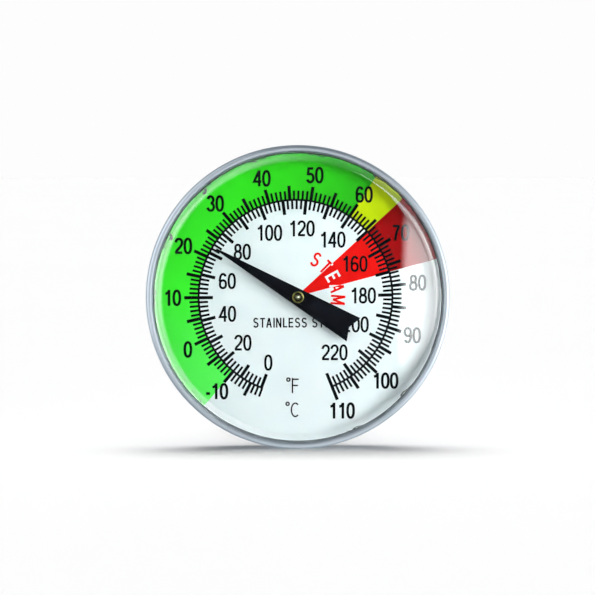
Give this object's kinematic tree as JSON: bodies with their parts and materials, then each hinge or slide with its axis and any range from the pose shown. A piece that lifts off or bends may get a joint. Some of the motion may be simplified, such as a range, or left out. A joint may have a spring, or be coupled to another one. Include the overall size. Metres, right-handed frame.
{
  "type": "dial thermometer",
  "caption": "Round-faced bimetal thermometer with a clear domed lens, a hexagon calibration bushing, a thin back stem and a sliding spring clip for a vessel's rim.",
  "frame": {"origin": "on the stem's axis, in the plane of the flat case back, where the stem leaves the head", "axes": "+Y along the stem from the head to the tip, so the dial faces -Y; +Z is the top of the dial; +X is the dial's right as it is read"},
  "size_m": [0.045, 0.1457, 0.045],
  "materials": {
    "case_steel": "satin pressed stainless steel",
    "bezel_steel": "polished stainless steel",
    "clear_acrylic": "clear polished acrylic",
    "seal_rubber": "matt black rubber",
    "dial_enamel": "printed white enamel with green, yellow and red zones",
    "pointer_paint": "satin black paint",
    "brass": "turned brass",
    "stem_steel": "polished drawn stainless steel",
    "spring_steel": "satin spring steel strip",
    "bimetal": "rolled bimetal strip"
  },
  "bodies": {
    "stem": {"stem_tube": "stem_steel", "hex_bushing": "stem_steel", "tip_plug": "stem_steel", "upper_guide_bush": "brass", "middle_guide_bush": "brass", "lower_guide_bush": "brass", "neck_seal": "seal_rubber", "thrust_washer": "brass", "wave_washer": "spring_steel", "retaining_ring": "spring_steel", "bimetal_coil": "bimetal"},
    "head": {"case_shell": "case_steel", "bezel_ring": "bezel_steel", "lens": "clear_acrylic", "lens_gasket": "seal_rubber", "dial_plate": "dial_enamel"},
    "pointer": {"pointer": "pointer_paint", "pointer_hub": "brass", "pointer_shaft": "stem_steel", "coil_collar": "brass"},
    "clip": {"vessel_clip": "spring_steel"}
  },
  "joints": [
    {"name": "head_turn", "type": "hinge", "parent": "stem", "child": "head", "pos_m": [0, 0, 0], "axis": [0, 1, 0], "continuous": true},
    {"name": "pointer_turn", "type": "hinge", "parent": "stem", "child": "pointer", "pos_m": [0, 0, 0], "axis": [0, 1, 0], "range_deg": [-100.3, 217.4], "stiffness_Nm_per_rad": 0.0001},
    {"name": "clip_slide", "type": "slide", "parent": "stem", "child": "clip", "axis": [0, 1, 0], "range_m": [-0.041, 0.065]}
  ]
}
